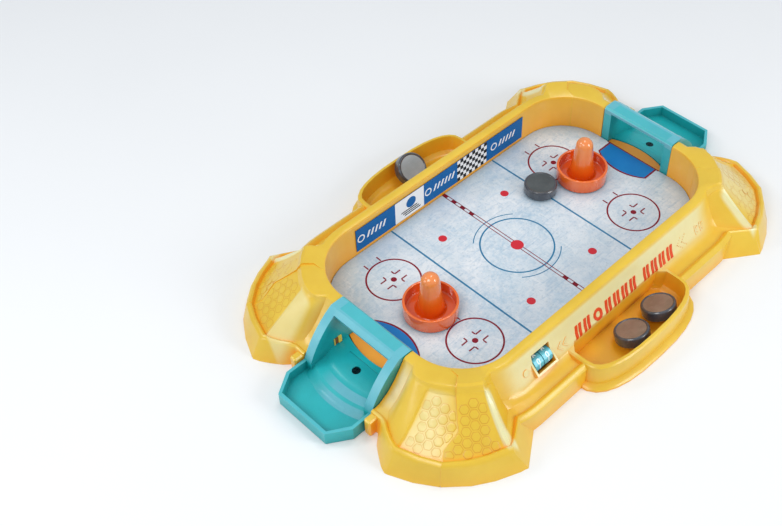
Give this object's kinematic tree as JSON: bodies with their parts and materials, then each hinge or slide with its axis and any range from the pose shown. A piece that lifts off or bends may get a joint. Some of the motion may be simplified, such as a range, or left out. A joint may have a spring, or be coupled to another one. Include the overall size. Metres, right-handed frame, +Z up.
{
  "type": "table hockey game",
  "caption": "Tabletop hockey rink with curved walls, a catch-tray goal at each end, sliding strikers, pucks, side pockets and turning score wheels.",
  "frame": {"origin": "on the table, under the middle of the rink", "axes": "+X along the rink to the right-hand goal, +Y across it to the far wall, +Z up"},
  "size_m": [0.394, 0.2528, 0.0495],
  "materials": {
    "yellow_plastic": "satin moulded",
    "turquoise_plastic": "satin moulded",
    "orange_plastic": "glossy moulded, slightly translucent",
    "charcoal_plastic": "fine matt",
    "printed_ice": "printed sheet with rink markings",
    "printed_strip": "printed sticker",
    "wheel_plastic": "satin moulded with a pale digit on each facet",
    "zinc_steel": "zinc plated",
    "grey_felt": "felt"
  },
  "bodies": {
    "rink": {"rink_deck": "yellow_plastic", "ice_sheet": "printed_ice", "side_rail_far": "yellow_plastic", "side_rail_near": "yellow_plastic", "corner_cover_right_far": "yellow_plastic", "corner_cover_right_near": "yellow_plastic", "corner_cover_left_far": "yellow_plastic", "corner_cover_left_near": "yellow_plastic", "goal_right": "turquoise_plastic", "goal_left": "turquoise_plastic", "goal_screw_right": "zinc_steel", "goal_screw_left": "zinc_steel", "rail_screw_left_near": "zinc_steel", "rail_screw_left_far": "zinc_steel", "rail_screw_right_near": "zinc_steel", "rail_screw_right_far": "zinc_steel", "corner_screw_left_near": "zinc_steel", "corner_screw_left_far": "zinc_steel", "corner_screw_right_near": "zinc_steel", "corner_screw_right_far": "zinc_steel", "score_axle_far": "zinc_steel", "score_axle_near": "zinc_steel", "score_keeper_far": "yellow_plastic", "score_keeper_near": "yellow_plastic", "wall_strip_far": "printed_strip", "wall_strip_near": "printed_strip"},
    "wheel_far_tens": {"score_wheel_far_tens": "wheel_plastic"},
    "wheel_far_units": {"score_wheel_far_units": "wheel_plastic"},
    "wheel_near_tens": {"score_wheel_near_tens": "wheel_plastic"},
    "wheel_near_units": {"score_wheel_near_units": "wheel_plastic"},
    "striker_left": {"striker_left": "orange_plastic", "striker_felt_left": "grey_felt"},
    "striker_right": {"striker_right": "orange_plastic", "striker_felt_right": "grey_felt"},
    "puck_in_play": {"puck_in_play": "charcoal_plastic"},
    "puck_near_a": {"puck_near_a": "charcoal_plastic"},
    "puck_near_b": {"puck_near_b": "charcoal_plastic"},
    "puck_far": {"puck_far": "charcoal_plastic"}
  },
  "joints": [
    {"name": "far_tens_turn", "type": "hinge", "parent": "rink", "child": "wheel_far_tens", "pos_m": [0.07545, 0.081, 0.0228], "axis": [1, 0, 0], "continuous": true},
    {"name": "far_units_turn", "type": "hinge", "parent": "rink", "child": "wheel_far_units", "pos_m": [0.06735, 0.081, 0.0228], "axis": [1, 0, 0], "continuous": true},
    {"name": "near_tens_turn", "type": "hinge", "parent": "rink", "child": "wheel_near_tens", "pos_m": [-0.07545, -0.081, 0.0228], "axis": [1, 0, 0], "continuous": true},
    {"name": "near_units_turn", "type": "hinge", "parent": "rink", "child": "wheel_near_units", "pos_m": [-0.06735, -0.081, 0.0228], "axis": [1, 0, 0], "continuous": true},
    {"name": "left_striker_slide", "type": "slide", "parent": "rink", "child": "striker_left", "axis": [0, 1, 0], "range_m": [-0.05, 0.05]},
    {"name": "right_striker_slide", "type": "slide", "parent": "rink", "child": "striker_right", "axis": [0, 1, 0], "range_m": [-0.062, 0.036]},
    {"name": "puck_slide", "type": "slide", "parent": "rink", "child": "puck_in_play", "axis": [1, 0, 0], "range_m": [-0.112, 0]},
    {"name": "near_puck_a_lift", "type": "slide", "parent": "rink", "child": "puck_near_a", "axis": [0, 0, 1], "range_m": [0, 0.03]},
    {"name": "near_puck_b_lift", "type": "slide", "parent": "rink", "child": "puck_near_b", "axis": [0, 0, 1], "range_m": [0, 0.03]},
    {"name": "far_puck_lift", "type": "slide", "parent": "rink", "child": "puck_far", "axis": [0, 0, 1], "range_m": [0, 0.03]}
  ]
}
